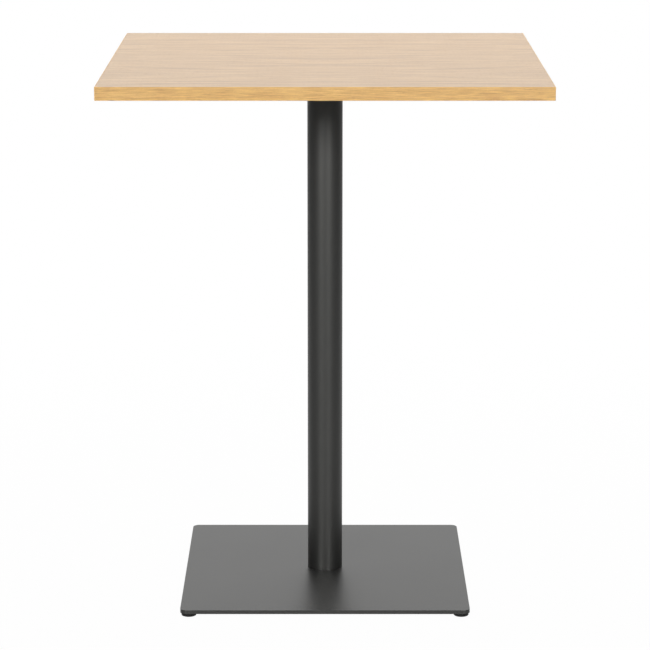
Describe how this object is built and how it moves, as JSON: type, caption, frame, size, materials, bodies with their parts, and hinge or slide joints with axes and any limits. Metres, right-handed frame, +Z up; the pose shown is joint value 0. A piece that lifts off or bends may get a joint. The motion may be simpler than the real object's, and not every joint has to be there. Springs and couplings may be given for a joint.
{
  "type": "bistro table",
  "caption": "Square bistro table: oak-veneered board with edge bands on a round steel column and a flat square steel foot plate with levelling glides.",
  "frame": {"origin": "on the floor under the column, at the bottom centre of the bounding box", "axes": "+Z up along the column, +X to the right and -Y towards the front edge as seen in the picture, square to the board's sides"},
  "size_m": [0.6, 0.6, 0.758],
  "materials": {
    "oak_face": "satin oak veneer",
    "oak_back": "matt oak balancing veneer",
    "oak_edge": "satin golden oak edge band",
    "chipboard": "raw chipboard",
    "insert_brass": "brass-plated steel",
    "powder_coat": "satin anthracite powder coat, fine texture",
    "bare_steel": "bare turned steel",
    "zinc_plate": "bright zinc plate",
    "black_screw": "blackened steel",
    "pad_plastic": "matt black polyamide"
  },
  "bodies": {
    "table": {"board_core": "chipboard", "top_veneer": "oak_face", "underside_veneer": "oak_back", "edge_band_front": "oak_edge", "edge_band_back": "oak_edge", "edge_band_left": "oak_edge", "edge_band_right": "oak_edge", "threaded_insert_front_left": "insert_brass", "threaded_insert_front_right": "insert_brass", "threaded_insert_back_left": "insert_brass", "threaded_insert_back_right": "insert_brass", "mounting_plate": "powder_coat", "board_screw_front_left": "zinc_plate", "board_screw_front_right": "zinc_plate", "board_screw_back_left": "zinc_plate", "board_screw_back_right": "zinc_plate", "board_washer_front_left": "zinc_plate", "board_washer_front_right": "zinc_plate", "board_washer_back_left": "zinc_plate", "board_washer_back_right": "zinc_plate", "column_top_screw_front_left": "zinc_plate", "column_top_screw_front_right": "zinc_plate", "column_top_screw_back_left": "zinc_plate", "column_top_screw_back_right": "zinc_plate", "upper_end_disc": "bare_steel", "column_tube": "powder_coat", "lower_end_disc": "bare_steel", "column_foot_screw_front_left": "black_screw", "column_foot_screw_front_right": "black_screw", "column_foot_screw_back_left": "black_screw", "column_foot_screw_back_right": "black_screw", "foot_plate": "powder_coat"},
    "glide_pad_front_left": {"glide_pad_front_left": "pad_plastic"},
    "glide_stud_front_left": {"glide_stud_front_left": "zinc_plate"},
    "glide_pad_front_right": {"glide_pad_front_right": "pad_plastic"},
    "glide_stud_front_right": {"glide_stud_front_right": "zinc_plate"},
    "glide_pad_back_left": {"glide_pad_back_left": "pad_plastic"},
    "glide_stud_back_left": {"glide_stud_back_left": "zinc_plate"},
    "glide_pad_back_right": {"glide_pad_back_right": "pad_plastic"},
    "glide_stud_back_right": {"glide_stud_back_right": "zinc_plate"}
  },
  "joints": [
    {"name": "level_front_left", "type": "slide", "parent": "table", "child": "glide_pad_front_left", "axis": [0, 0, -1], "range_m": [0, 0.002]},
    {"name": "stud_turn_front_left", "type": "hinge", "parent": "glide_pad_front_left", "child": "glide_stud_front_left", "pos_m": [-0.1905, -0.1905, 0.004], "axis": [0, 0, -1], "range_deg": [0, 720]},
    {"name": "level_front_right", "type": "slide", "parent": "table", "child": "glide_pad_front_right", "axis": [0, 0, -1], "range_m": [0, 0.002]},
    {"name": "stud_turn_front_right", "type": "hinge", "parent": "glide_pad_front_right", "child": "glide_stud_front_right", "pos_m": [0.1905, -0.1905, 0.004], "axis": [0, 0, -1], "range_deg": [0, 720]},
    {"name": "level_back_left", "type": "slide", "parent": "table", "child": "glide_pad_back_left", "axis": [0, 0, -1], "range_m": [0, 0.002]},
    {"name": "stud_turn_back_left", "type": "hinge", "parent": "glide_pad_back_left", "child": "glide_stud_back_left", "pos_m": [-0.1905, 0.1905, 0.004], "axis": [0, 0, -1], "range_deg": [0, 720]},
    {"name": "level_back_right", "type": "slide", "parent": "table", "child": "glide_pad_back_right", "axis": [0, 0, -1], "range_m": [0, 0.002]},
    {"name": "stud_turn_back_right", "type": "hinge", "parent": "glide_pad_back_right", "child": "glide_stud_back_right", "pos_m": [0.1905, 0.1905, 0.004], "axis": [0, 0, -1], "range_deg": [0, 720]}
  ],
  "couplings": [
    {"joint": "stud_turn_front_left", "follows": "level_front_left", "rad_per_m": 6283.2},
    {"joint": "stud_turn_front_right", "follows": "level_front_right", "rad_per_m": 6283.2},
    {"joint": "stud_turn_back_left", "follows": "level_back_left", "rad_per_m": 6283.2},
    {"joint": "stud_turn_back_right", "follows": "level_back_right", "rad_per_m": 6283.2}
  ]
}
